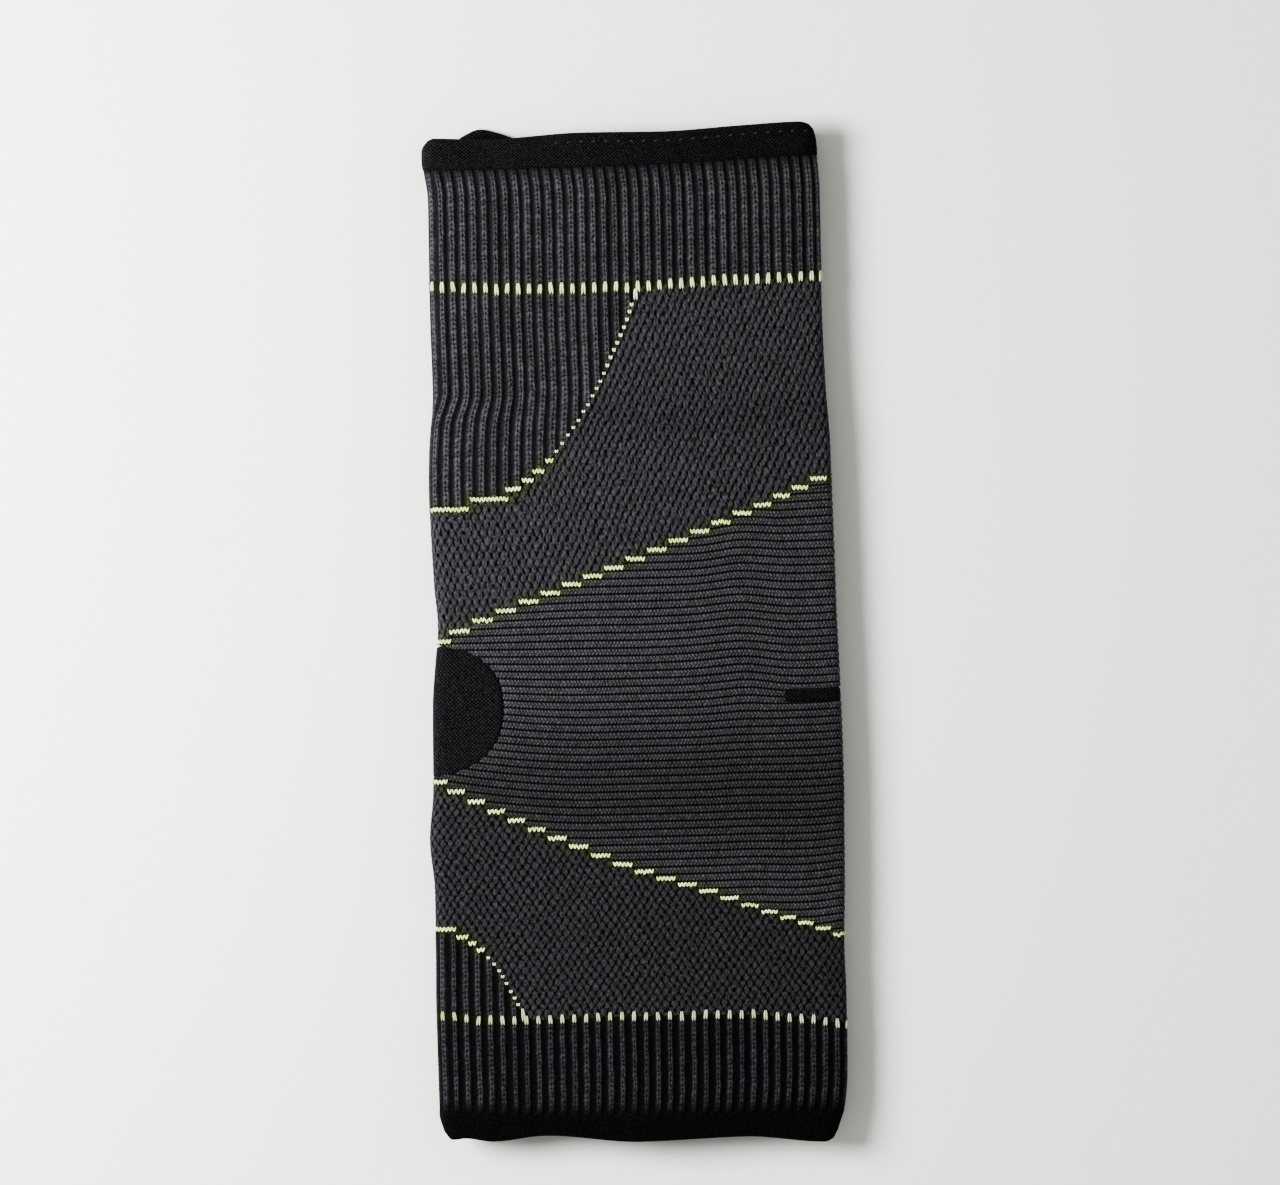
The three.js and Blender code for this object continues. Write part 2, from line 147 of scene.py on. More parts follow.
def way_to(x, y):
    """Way over the front to a place across."""
    into, out = np.clip(x - left_edge(y), 0, None), np.clip(right_edge(y) - x, 0, None)
    near = np.minimum(into, out)
    on_fold = FOLD_RADIUS * np.interp(1 - near / FOLD_RADIUS, bow_across[::-1], bow_run[::-1])
    reach = np.where(near < FOLD_RADIUS, on_fold, near - FOLD_RADIUS + QUARTER)
    return np.where(into < out, reach, half_girth(y) - reach) / half_girth(y)


print("front layer at the middle, mm:", np.round(cloth(0.5, 0.0), 2))

# %% [markdown]
# ## Borders of the zones
# The hems end at a seam, the cuffs at an accent line, the tongues at a curve, and the joint panel between two
# slanting lines. Each border is a height as a function of the place across. On the real sleeve the same border
# runs over the front and the back, because both are knitted in the same rounds. Only the rims differ: behind the
# upper left corner the back layer shows as a small hump.

# %% Border lines
across = [-50, -37, -24, 0, 22, 36, 50]
upper_seam = through(across, [115.0, 115.0, 114.9, 115.0, 115.5, 116.2, 116.6])
upper_cuff_line = through(across, [86.9, 86.2, 85.6, 85.4, 86.4, 86.5, 87.1])
lower_cuff_line = through(across, [-91.2, -92.9, -93.0, -92.75, -92.9, -93.95, -96.0])
lower_seam = through(across, [-114.8, -115.4, -116.2, -116.7, -116.8, -116.8, -116.8])
upper_tongue_edge = through(
    [-49, -43.7, -34, -27.7, -21.9, -16, -8.2, -1.7, 1.1, 3.1],
    [31.6, 32.1, 34.3, 36.6, 40.9, 47.6, 58.9, 72.2, 78.6, 85.6],
)
lower_tongue_edge = through(
    [-50.5, -43.3, -41, -37.2, -33, -30.3, -29], [-70.6, -72.6, -74.1, -77.6, -84, -89.1, -93.2]
)
upper_slant = through(
    [-52, -46.4, -42.2, -30.7, -19.6, 1.1, 22.3, 37.4, 46.4, 52],
    [-2.7, -0.1, 2.3, 7.1, 11.2, 18.9, 27.35, 33.4, 37.5, 39.9],
)
lower_slant = through(
    [-52, -47.5, -44.0, -29.4, -14.4, 1.3, 17.1, 31.8, 45.1, 52],
    [-32.4, -34.5, -36.8, -44.3, -51.1, -57.5, -62.65, -68.1, -72.6, -75.1],
)
UPPER_TIP, LOWER_TIP = 3.1, -29.0


def upper_mesh_head(x):
    return np.where(x < UPPER_TIP, upper_tongue_edge(x), upper_cuff_line(x))


def lower_mesh_foot(x):
    return np.where(x < LOWER_TIP, lower_tongue_edge(x), lower_cuff_line(x))


def rim(at, front, back):
    front_line, back_line = through(at, front), through(at, back)
    return lambda x, way: np.where(way >= 0, front_line(x), back_line(x))


upper_rim = rim(
    [-48.5, -46.5, -41, -38, -34.5, -30, -25, -9.6, 10, 29.5, 44, 46.8, 47.8],
    [121.2, 122.9, 122.7, 122.5, 122.4, 122.3, 122.6, 123.4, 123.2, 124.2, 124.8, 124.2, 121.5],
    [121.2, 122.4, 122.6, 124.2, 125.5, 124.5, 122.9, 122.2, 122.2, 122.8, 123.4, 122.9, 121.3],
)
lower_rim = rim(
    [-50.2, -47.9, -44, -37, -24.5, -1.3, 24.5, 44.4, 46.2, 47.6],
    [-116.9, -121.9, -121.6, -122.5, -121.4, -123.4, -122.8, -124.6, -124.0, -120.8],
    [-116.9, -120.4, -120.4, -121.0, -120.6, -122.0, -122.2, -123.0, -122.8, -120.8],
)


def no_drift(way, y):
    return 0.0


def meet(border, way, drift=no_drift):
    """Height at which a column of stitches meets a border."""
    y = np.full(np.shape(way), float(np.mean(border(np.zeros(1)))))
    for _ in range(14):
        y = y + 0.7 * (border(cloth(way + drift(way, y), y)[..., 0]) - y)
    return y


def between(way, foot, head, rows, drift=no_drift):
    """Grids of way and height for columns of stitches that run from one border to another."""
    low, high = meet(foot, way, drift), meet(head, way, drift)
    y = low + (high - low) * np.linspace(0, 1, rows + 1)[:, None]
    return np.broadcast_to(way, y.shape) + drift(way, y), y


print("hem seams at the middle, mm:", float(upper_seam(0)), float(lower_seam(0)))

# %% [markdown]
# ## Where the accent stitches sit
# Pale yellow-green stitches mark the borders. On the cuff lines there is a tall stitch on the crest of every
# rib. On the slants there is a short dash in each row, one step beside the next, like stairs. A dash is as wide
# as most of its step, and along the lower slant the dashes thin out towards the crook. On the tongues they
# shorten to single stitches as the curve steepens. The list comes before the zones, because the yarn floats
# behind the cloth there and tints the dark gaps beside it, so each zone needs to know how near an accent is.

# %% Places of the accent marks
WALES = 111  # columns of stitches from fold to fold
DASH_SHARE = 0.875  # of the step from one dash to the next
FULL_DASH_X = -14  # place across of a dash of plain thickness
DASH_TINT, STITCH_TINT = 1.35, 0.6  # how far a dash and a single stitch tint the cloth
UPPER_RIBS, LOWER_RIBS = (39, 0.15), (37, 0.36)  # ribs from fold to fold, and how far they start past the fold


def stairs(border, counted, places, thinning):
    """Dashes along a slant: place across, height, width, thickness. The places of a few of them are known."""
    steps = through(counted, places)(np.arange(counted[-1] + 1))
    widths = DASH_SHARE * np.gradient(steps)
    return [
        (x, float(border(x)), width, 1 - thinning * (x - FULL_DASH_X))
        for x, width in zip(steps.tolist(), widths.tolist())
    ]


dot_heights = np.arange(81.2, 45.0, -1.86)
fine_x = np.linspace(-52, 52, 800)
dot_places = np.interp(dot_heights, upper_tongue_edge(fine_x), fine_x)
marks = {
    "upper_slant_accent": [(-46.2, -0.1, 3.7)] + stairs(
        upper_slant, [0, 3, 7, 11, 14, 17], [-42.2, -25.1, -4.1, 17.1, 32.6, 46.4], 0
    ),
    "lower_slant_accent": [(-47.7, -34.4, 3.3)] + stairs(
        lower_slant, [0, 5, 8, 12, 15, 19], [-44.0, -19.6, -3.8, 17.0, 31.8, 49.0], 0.0035
    ),
    "upper_tongue_accent": [(float(x), float(y), 0.9) for x, y in zip(dot_places, dot_heights)] + [
        (-19.2, 43.4, 1.9), (-21.9, 40.9, 2.8), (-24.6, 38.7, 2.8), (-28.2, 36.6, 3.7), (-34.1, 34.4, 9.3),
        (-43.8, 32.1, 9.3),
    ],
    "lower_tongue_accent": [
        (-47.4, -70.4, 5.0), (-43.4, -72.4, 2.8), (-41.0, -74.1, 1.9), (-39.0, -75.7, 1.9), (-37.2, -77.5, 0.9),
        (-35.8, -79.2, 0.9), (-34.6, -80.8, 0.9), (-33.8, -82.4, 0.9), (-32.9, -84.0, 0.9), (-31.9, -85.9, 0.9),
        (-31.0, -87.6, 0.9), (-30.2, -89.2, 0.9),
    ],
}


def crest_ways(ribs):
    count, start = ribs
    return (np.arange(-count, count) + 0.5 + start) / count


near_points = [
    (x + s * w, y, DASH_TINT if w > 1 else STITCH_TINT)
    for rows in marks.values() for x, y, w, *_ in rows for s in np.linspace(-0.5, 0.5, int(w / 1.2) + 2)
]
cuff_marks = {}  # ways, heights, half length, half width
for name, ribs, line, long, wide, tint in (
    ("upper_cuff_accent", UPPER_RIBS, upper_cuff_line, 1.4, 0.31, 1.5),
    ("lower_cuff_accent", LOWER_RIBS, lower_cuff_line, 1.21, 0.29, 0.9),
):
    way = crest_ways(ribs)
    cuff_marks[name] = (way, meet(line, way), long, wide)
    near_points += [(place[0], place[1], tint) for place in cloth(way, cuff_marks[name][1])]


def accent_near(places):
    """1 beside an accent stitch, falling to 0 a millimetre or two away."""
    nearest = np.full(len(places), 1e9)
    for x, y, wide in near_points:
        nearest = np.minimum(nearest, ((0.7 * (places[:, 0] - x)) ** 2 + (places[:, 1] - y) ** 2) / wide**2)
    return np.exp(-nearest)


print("accent marks:", {name: len(rows) for name, rows in marks.items()})

# %% [markdown]
# ## How a zone of knit is made
# A zone starts as a flat grid, the way cloth comes off the machine: one column of faces for each part of a
# stitch. The grid is wrapped round the tube, and its two ends are merged where it closes on itself. The grid's
# own UV map remembers the column and row of every corner, so each point finds its place.

# %% Grid and wrap
def corner_cells(mesh, columns, rows):
    """Column and row of the grid at each face corner, and its point."""
    uv = np.empty(len(mesh.loops) * 2, np.float32)
    mesh.uv_layers[0].data.foreach_get("uv", uv)
    point = np.empty(len(mesh.loops), np.int32)
    mesh.loops.foreach_get("vertex_index", point)
    return np.rint(uv[0::2] * columns).astype(int), np.rint(uv[1::2] * rows).astype(int), point


def put_points(mesh, places):
    mesh.vertices.foreach_set("co", (places * MM).astype(np.float32).ravel())
    mesh.update()


def laid_grid(name, places):
    """A piece from a grid of places."""
    rows, columns = places.shape[0] - 1, places.shape[1] - 1
    bpy.ops.object.select_all(action="DESELECT")
    bpy.ops.mesh.primitive_grid_add(x_subdivisions=columns, y_subdivisions=rows, size=1, calc_uvs=True)
    piece = bpy.context.object
    piece.name = piece.data.name = name
    column, row, point = corner_cells(piece.data, columns, rows)
    points = np.zeros((len(piece.data.vertices), 3))
    points[point] = places[row, column]
    put_points(piece.data, points)
    return piece


def in_edit(operation, **options):
    """Runs an operation on all points of the active piece."""
    bpy.ops.object.mode_set(mode="EDIT")
    bpy.ops.mesh.select_all(action="SELECT")
    operation(**options)
    bpy.ops.object.mode_set(mode="OBJECT")


def close_seams():
    in_edit(bpy.ops.mesh.remove_doubles, threshold=1e-6)


print("places are in millimetres, meshes in metres:", MM)

# %% [markdown]
# ## Maps on a zone
# Two more maps come from the grid's own. "knit" counts stitches, for the patterns of the finishes. "OFBake"
# lays the outer face, the inner face and the rims side by side, so that a texture baked on it keeps the weave
# sharp. Single numbers for a finish, such as its tone, are stored on the points.

# %% Maps and numbers
FACE_SHARE = 0.92  # of the bake map's height, for the outer face


def put_map(mesh, name, uv):
    mesh.uv_layers.new(name=name).data.foreach_set("uv", uv.astype(np.float32).ravel())


def put_number(mesh, name, values):
    mesh.attributes.new(name, "FLOAT", "POINT").data.foreach_set("value", values.astype(np.float32))


def bake_map(cell_u, cell_v, inner, strips):
    """Lays strips of the outer face, then the inner face and the rims, without overlap. Four corners a face."""
    u, v, inside = cell_u.reshape(-1, 4), cell_v.reshape(-1, 4), inner.reshape(-1, 4)
    count = inside.sum(axis=1)[:, None]
    strip = np.floor(u.mean(axis=1, keepdims=True) * strips)
    face_u = 0.002 + 0.996 * (u * strips - strip)
    face_v = FACE_SHARE * (strip + 0.01 + 0.98 * v) / strips
    foot, head = (v == 0).all(axis=1)[:, None], (v == 1).all(axis=1)[:, None]
    start = (u == 0).all(axis=1)[:, None]
    band = np.where(foot, 0.967, np.where(head, 0.975, np.where(start, 0.983, 0.991)))
    rim_u, rim_v = np.where(foot | head, u, v), band + 0.005 * inside
    map_u = np.where(count == 0, face_u, np.where(count == 4, u, rim_u))
    map_v = np.where(count == 0, face_v, np.where(count == 4, 0.925 + 0.04 * v, rim_v))
    return np.stack([map_u.ravel(), map_v.ravel()], axis=-1)


print("share of the bake map for the outer face:", FACE_SHARE)

# %% [markdown]
# ## Wall and relief
# A Solidify modifier gives the wrapped grid a second face inside. Then each outer point sinks by the relief of its
# stitch, while the inner face stays smooth, so the ribs don't squeeze through to the inside. The size of the cloth
# unrolled is measured on its grid, before any relief.

# %% Wall and relief
SMOOTH_ANGLE = math.radians(75)
# painted shade: the tone falls towards the crook, and this is the distance at which that change is full
PAINTED_SHADE_REACH = 45  # distance across, from the middle, at which a change of tone is full
flat_sizes = {}


def bell(distance, reach):
    """1 at no distance, falling softly to 0 beyond the reach."""
    return np.exp(-((distance / reach) ** 2))


def flat_size(way, y):
    """Width, length and area of the cloth when it is unrolled, in millimetres."""
    reach = way * half_girth(y)
    wide, tall = np.diff(reach, axis=1), np.diff(y, axis=0)
    area = np.sum((wide[1:] + wide[:-1]) / 2 * (tall[:, 1:] + tall[:, :-1]) / 2)
    return float(np.ptp(reach, axis=1).max()), float(np.ptp(y)), float(abs(area))


def painted_light_and_shade(places):
    """Tone with painted shade and painted light: a little darker towards the crook, and pale over the right fold.
    """
    from_fold = right_edge(places[:, 1]) - places[:, 0]
    return 1 - 0.062 * places[:, 0] / PAINTED_SHADE_REACH + 0.6 * bell(from_fold, 1.7)


def knit_zone(name, way, y, relief, rounds, tone, closed=False, strips=1, inner=WALL, counted=None, **numbers):
    """Zone of knit from grids of way, height, relief and rounds of stitches. Counted are the columns of stitches,
    where they differ from the plain count, and numbers are stored on the points for the finish."""
    rows, columns = way.shape[0] - 1, way.shape[1] - 1
    counted = way * WALES if counted is None else counted
    piece = laid_grid(name, cloth(way, y))
    mesh = piece.data
    if closed:
        close_seams()
    wall = piece.modifiers.new("wall", "SOLIDIFY")
    wall.thickness, wall.offset = WALL * MM, -1
    bpy.ops.object.modifier_apply(modifier="wall")
    column, row, point = corner_cells(mesh, columns, rows)
    cell = np.zeros((len(mesh.vertices), 2), int)
    cell[point] = np.stack([row, column], axis=-1)
    point_row, point_column = cell.T
    here = np.empty(len(mesh.vertices) * 3, np.float32)
    mesh.vertices.foreach_get("co", here)
    smooth = cloth(way, y)[point_row, point_column]
    is_inner = np.linalg.norm(here.reshape(-1, 3) / MM - smooth, axis=1) > 0.5 * WALL
    depth = np.where(is_inner, inner, relief[point_row, point_column])
    put_points(mesh, cloth(way[point_row, point_column], y[point_row, point_column], depth))
    put_map(mesh, "knit", np.stack([counted[row, column], rounds[row, column]], axis=-1))
    put_map(mesh, "OFBake", bake_map(column / columns, row / rows, is_inner[point].astype(int), strips))
    mesh.uv_layers.remove(mesh.uv_layers[0])
    put_number(mesh, "accent", accent_near(smooth))
    # the tone carries painted shade towards the crook and painted light over the right fold
    put_number(mesh, "tone", np.broadcast_to(tone, way.shape)[point_row, point_column] * painted_light_and_shade(smooth))
    for key, values in numbers.items():
        put_number(mesh, key, np.broadcast_to(values, way.shape)[point_row, point_column])
    bpy.ops.object.shade_smooth_by_angle(angle=SMOOTH_ANGLE)
    flat_sizes[name] = flat_size(way, y)
    print(f"{name}: {len(mesh.polygons)} faces, {int(is_inner.sum())} points inside")
    return piece


print("wall, mm:", WALL)

# %% [markdown]
# ## Yarn in nodes
# All the knits are one idea seen at different stitches: loops of melange yarn in columns and rounds. Two small
# classes keep the node work readable. A Finish adds nodes and links what it is given. It hands back Values, which
# can be added, subtracted and multiplied like numbers, and each sum is a Math node. The patterns read the "knit"
# map, so a stitch keeps its size round the folds. Colour and bump come from the same pattern, so light and colour
# agree.


# %% Node helpers
class Value:
    """What a node gives."""

    def __init__(self, finish, socket):
        self.finish, self.socket = finish, socket

    def __add__(self, other):
        return self.finish.math("ADD", self, other)

    def __sub__(self, other):
        return self.finish.math("SUBTRACT", self, other)

    def __rsub__(self, other):
        return self.finish.math("SUBTRACT", other, self)

    def __mul__(self, other):
        return self.finish.math("MULTIPLY", self, other)


class Finish:
    """A material whose pattern is wired up one node at a time."""

    def __init__(self, name):
        self.material = bpy.data.materials.new(name)
        self.material.use_nodes = True
        self.nodes, self.links = self.material.node_tree.nodes, self.material.node_tree.links
        stitches = self.give("UVMap", {}, uv_map="knit")
        self.wale, self.round = (self.give("SeparateXYZ", {0: stitches}, axis) for axis in (0, 1))

    def plug(self, socket, value):
        if isinstance(value, Value):
            self.links.new(value.socket, socket)
        elif socket.type == "VECTOR":
            socket.default_value = value[:3]
        else:
            socket.default_value = value

    def give(self, kind, plugs, output=0, **settings):
        """One output of a new node, with its settings made and constants or other Values plugged in."""
        node = self.nodes.new("ShaderNode" + kind)
        for key, setting in settings.items():
            setattr(node, key, setting)
        for key, value in plugs.items():
            self.plug(node.inputs[key], value)
        return Value(self, node.outputs[output])

    def math(self, operation, *values):
        return self.give("Math", dict(enumerate(values)), operation=operation)

    def from_middle(self, value):
        """Distance from the middle of a repeat, 0 to 0.5."""
        return self.math("ABSOLUTE", self.math("FRACT", value) - 0.5)

    def wave(self, value):
        """0 to 1 and back, once in each repeat."""
        return self.math("COSINE", value * (2 * math.pi)) * 0.5 + 0.5

    def step(self, value, low, high, to_low=0.0, to_high=1.0):
        plugs = dict(enumerate((value, low, high, to_low, to_high)))
        return self.give("MapRange", plugs, interpolation_type="SMOOTHSTEP")

    def pair(self, x, y):
        return self.give("CombineXYZ", {0: x, 1: y})

    def chance(self, x, y):
        """A random number for each pair of numbers."""
        return self.give("TexWhiteNoise", {"Vector": self.pair(x, y)}, "Value", noise_dimensions="2D")

    def noise(self, vector, scale=1.0, detail=3.0):
        return self.give("TexNoise", {"Vector": vector, "Scale": scale, "Detail": detail}, "Fac")

    def place(self):
        return self.give("TexCoord", {}, "Object")

    def number(self, name):
        """A number stored on the points of the mesh."""
        return self.give("Attribute", {}, "Fac", attribute_name=name)

    def mix(self, factor, a, b, blend="MIX"):
        return self.give("Mix", {0: factor, 6: a, 7: b}, 2, data_type="RGBA", blend_type=blend)

    def tinted(self, colour):
        """A colour with the olive cast that it has beside an accent."""
        return self.mix(self.number("accent"), colour, OLIVE_CAST, "MULTIPLY")

    def shade(self, colour, factor):
        """A colour made lighter or darker."""
        return self.give("VectorMath", {0: colour, "Scale": factor}, operation="SCALE")

    def finish(self, colour, height, relief, roughness=0.9, specular=0.07, sheen=0.03):
        looks = {
            "Base Color": colour, "Roughness": roughness, "Specular IOR Level": specular,
            "Sheen Weight": sheen, "Sheen Roughness": 0.5,
            "Normal": self.give("Bump", {"Strength": 0.9, "Distance": relief * MM, "Height": height}),
        }
        for key, value in looks.items():
            self.plug(self.nodes["Principled BSDF"].inputs[key], value)
        return self.material


GREY_YARN = (0.080, 0.079, 0.0895, 1)
BLACK_YARN = (0.0126, 0.0126, 0.0141, 1)
GAP_DARK = (0.0035, 0.0035, 0.004, 1)
OLIVE_FLOAT = (0.029, 0.036, 0.0035, 1)  # accent yarn behind the cloth, seen through a gap
OLIVE_CAST = (0.9, 1.03, 0.44, 1)  # multiplies the loops beside an accent
GREEN_HOLLOW, GREEN_STRAND, PALE_STRAND = (0.52, 0.68, 0.25, 1), (0.75, 0.86, 0.50, 1), (0.62, 0.63, 0.6, 1)
print("grey yarn reflects about", GREY_YARN[0])

# %% [markdown]
# ## Rib
# Two columns of grey loops stand on each crest, and a black column lies in the channel. The loops look like
# beads, one for each round, a little lighter or darker each, because melange yarn is spun from fibres of several
# greys. How wide the crest shows is read from the zone, since the wrist end is stretched and its channels stand
# open.

# %% Rib finish
ROUND_MM = 1.2  # height of one round of loops on the ribs


def rib_finish():
    f = Finish("rib_knit")
    wobble = f.noise(f.pair(f.wale * 0.33, f.round * 0.4))
    fibre = f.noise(f.pair(f.wale * 2.6, f.round * 2.6))
    rib = f.wale * (1 / 3) + (wobble - 0.5) * 0.26
    number, side = f.math("FLOOR", rib), f.math("FRACT", rib) - 0.5
    wide = f.number("crest") * f.step(f.chance(number, 0.0), 0.0, 1.0, 0.43, 0.57)
    across = f.math("DIVIDE", f.math("ABSOLUTE", side), wide)
    ragged = across + (fibre - 0.5) * 0.9
    crest = f.step(ragged, 1.5, 0.6) * (1.0 - f.number("fade"))
    course = f.round + (across * 0.25 + wobble * 1.8)
    ladder = f.wave(course)
    bead = ladder * 0.5 + f.step(f.from_middle(across), 0.5, 0.1) * 0.3
    yarn = f.chance(number * 2.0 + f.math("SIGN", side), f.math("FLOOR", course + 0.5))
    hole = f.step(across, 0.5, 0.1) * f.step(ladder, 0.5, 0.1) * f.step(fibre, 0.35, 0.6)
    tone = yarn * 0.4 + bead * 0.6 + f.step(fibre, 0.28, 0.72, 0.0, 0.75)
    tone = (tone - hole * 0.34) * f.step(f.chance(number, 1.0), 0.0, 1.0, 0.9, 1.1)
    channel = f.shade(BLACK_YARN, f.step(fibre, 0.3, 0.7, 0.8, 2.7) * f.number("tone"))
    channel = f.mix(f.number("accent"), channel, OLIVE_FLOAT)
    colour = f.mix(crest, channel, f.tinted(f.shade(GREY_YARN, tone)))
    return f.finish(f.shade(colour, f.number("tone")), (bead - hole * 0.5) * crest, 0.3)


rib_knit = rib_finish()
print("rib nodes:", len(rib_knit.node_tree.nodes))

# %% [markdown]
# ## Mesh
# The mesh is a tuck stitch: every second loop is held back and released later, which leaves almond loops in a
# staggered lattice, with a thin upright slit wherever two of them part. The slits are pointed lenses at one set
# of lattice points, and a broader lens between them is the light leaf of each loop. Where the distances to both
# sets are equal runs the loops' outline, which is only a faint shade. Each loop shows two strands. In the upper
# panel, away from the left fold, the strands carry painted shade: those that rise to the right are drawn lighter
# and the others darker, as if lit from one side. In the lower panel the leaves show more and the slits less. A
# slow noise bends the lattice, as knit is never quite even.

# %% Mesh finish
UPPER_TUCK, LOWER_TUCK = (3.75, 114), (3.0, 108)  # height of the lattice's repeat, and columns
SLIT, LEAF = (0.14, 0.19), (0.2, 0.36)  # half width and half height, as shares of the repeat


def mesh_finish():
    f = Finish("mesh_knit")
    spot = f.pair(f.wale * 0.5, f.round * 1.1)
    bend, lean = f.noise(spot, 0.9) - 0.5, f.noise(spot, 0.37, 2.0) - 0.5
    a = f.wale * 0.5 + (bend * 0.5 + lean * 0.8)
    v = f.round + (f.noise(spot, 1.4, 2.0) - 0.5) * 0.5
    a_half, v_half = a + 0.5, v + 0.5

    def lens(x, y, wide, tall):
        """1 in the middle of a pointed lens, 0 on its edge."""
        return 1.0 - f.from_middle(x) * (1 / wide) - f.math("POWER", f.from_middle(y) * (1 / tall), 2.0)

    slit = f.step(f.math("MAXIMUM", lens(a, v_half, *SLIT), lens(a_half, v, *SLIT)), -0.2, 0.5)
    leaf = f.math("MAXIMUM", lens(a, v, *LEAF), lens(a_half, v_half, *LEAF))
    leaf = f.step(leaf, -0.5, 0.8, -0.4, 0.6)
    border = f.from_middle(a_half) + f.from_middle(v_half) - 0.5
    loop = f.step(f.math("ABSOLUTE", border), 0.0, 0.28)
    other = f.math("GREATER_THAN", border, 0.0)
    half = (1.0 - other) * 0.5
    which_x, which_y = (f.math("FLOOR", at + half) + other * 0.5 for at in (a, v))
    yarn = f.chance(which_x, which_y)
    leaning = a + f.wave(v) * 0.3
    strand = f.noise(f.pair(leaning * 5.0, v * 4.2))
    tone = yarn * 0.08 + loop * 0.28 + f.step(strand, 0.28, 0.72, 0.0, 0.92)
    parted = (0.8 - f.wave(a * 2.0)) * 0.2
    # painted shade: strands that rise to the right are drawn lighter and the others darker, as if lit from one
    # side
    tone = tone + parted + (f.wave(a - v) - f.wave(a + v)) * f.number("slant")
    tone = f.math("MAXIMUM", tone + leaf * f.number("leaf"), 0.05)
    gap = f.mix(f.number("accent"), GAP_DARK, OLIVE_FLOAT)
    depth = slit * f.step(f.noise(spot, 0.8, 2.0), 0.3, 0.65, 0.6, 0.9) * (1.0 - f.number("leaf") * 0.8)
    colour = f.shade(f.mix(depth, f.tinted(f.shade(GREY_YARN, tone)), gap), f.number("tone"))
    return f.finish(colour, loop * 0.4 + strand * 0.6 - slit, 0.3)


mesh_knit = mesh_finish()
print("mesh nodes:", len(mesh_knit.node_tree.nodes))

# %% [markdown]
# ## Cross rib
# Over the joint the rows are broad and grey, and each row is two rounds of fine loops, which lean one way above
# the row's middle and the other way below it. Between two rows the machine leaves a thin groove with ragged
# edges, which shows as a line of dark dots.


# %% Cross rib finish
def ridge_finish():
    f = Finish("ridge_knit")
    from_crest = f.from_middle(f.round)
    wobble = f.noise(f.pair(f.wale * 0.4, f.round * 0.7))
    fibre = f.noise(f.pair(f.wale * 3.0, f.round * 5.0))
    row_start = f.chance(f.math("FLOOR", f.round), 2.0)
    half = f.round * 2.0
    part = f.math("FLOOR", half)
    stroke = f.wale * 1.12 + part * 0.5 + (wobble * 1.6 + row_start) + from_crest * 0.9
    loop = f.wave(stroke) * f.step(f.from_middle(half), 0.5, 0.15, 0.4, 1.0)
    dots = f.wave(f.wale * 1.06 + wobble * 1.2) * 0.035
    yarn = f.chance(f.math("FLOOR", stroke + 0.5), part)
    crest = f.step(from_crest + dots + (fibre - 0.5) * 0.12, 0.495, 0.385)
    tone = yarn * 0.3 + loop * 0.8 + f.step(fibre, 0.28, 0.72, 0.0, 0.62)
    groove = f.mix(f.number("accent"), f.shade(BLACK_YARN, 0.5), OLIVE_FLOAT)
    colour = f.shade(f.mix(crest, groove, f.tinted(f.shade(GREY_YARN, tone))), f.number("tone"))
    return f.finish(colour, (loop * 0.6 + 0.4) * crest, 0.25)


ridge_knit = ridge_finish()
print("cross rib nodes:", len(ridge_knit.node_tree.nodes))

# %% [markdown]
# ## Plain black and accent yarn
# The patch, the bar and the hems are plain black loops with a slight fuzz, so their tone is broken by small dots
# in a loose slanting order, one for each loop. The accent yarn is smoother and almost white, with a green cast
# that comes and goes in patches.


# %% Plain and accent finishes
LOOP_MM = 1.2  # height of a round of plain loops


def plain_finish(name):
    f = Finish(name)
    fuzz = f.noise(f.pair(f.wale * 2.6, f.round * 3.2))
    drift = f.noise(f.pair(f.round * 1.9, f.wale * 1.5), detail=2.0)
    u, v = f.wale + fuzz * 0.8, f.round * 1.25 + drift
    dot = f.wave(u + v) * f.wave(u - v)
    grain = f.chance(f.math("FLOOR", u * 2.0), f.math("FLOOR", v * 2.0))
    tone = dot * 4.4 + grain * 0.9 + f.step(fuzz, 0.33, 0.7)
    return f.finish(f.shade(BLACK_YARN, tone * f.number("tone")), fuzz + dot * 0.5, 0.3)


def accent_finish():
    f = Finish("accent_yarn")
    strand, cast = f.noise(f.place(), 2600.0, 2.0), f.noise(f.place(), 420.0, 2.0)
    colour = f.mix(f.step(cast, 0.35, 0.65), GREEN_HOLLOW, GREEN_STRAND)
    colour = f.mix(f.number("pale"), colour, PALE_STRAND)
    tone = f.step(strand, 0.25, 0.75, 0.7, 1.02) * f.number("tone")
    return f.finish(f.shade(colour, tone), strand, 0.06, roughness=0.7, specular=0.3, sheen=0.1)


plain_knit, hem_knit, accent_yarn = plain_finish("plain_knit"), plain_finish("hem_knit"), accent_finish()
print("plain nodes:", len(plain_knit.node_tree.nodes))

# %% [markdown]
# ## Putting a zone in its place
# Each finished zone takes the place of its solid in the frame, which is hidden, and hangs on the root body. It
# takes one finish for the whole zone.


# %% Dress a zone
def dress(piece, node, finish):
    piece.data.materials.clear()
    piece.data.materials.append(finish)
    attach(piece, "root")
    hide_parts(node)
    print(f"{piece.name} stands for {node}")

# %% [markdown]
# ## Ribbed cuffs
# A rib is a band of loops that springs forward, with a channel between it and the next. Its section is a flat
# crest with rounded shoulders and a shallow dip along its middle, where its two columns of loops meet. Ten points
# describe it, close together at the shoulders. Both cuffs close on themselves at the right fold.

# %% Cuffs
RIB_DEPTH = 0.42
rib_points = np.array([0, 0.1, 0.18, 0.27, 0.4, 0.5, 0.6, 0.73, 0.82, 0.9])


def rib_ways(ribs):
    count, start = ribs
    return np.r_[((np.arange(-count, count)[:, None] + rib_points + start) / count).ravel(), 1 + start / count]


def rib_count(way, ribs):
    """Number of ribs passed on the way."""
    return way * ribs[0] - ribs[1]


def ramp(value):
    """The value, kept between 0 and 1."""
    return np.clip(value, 0, 1)


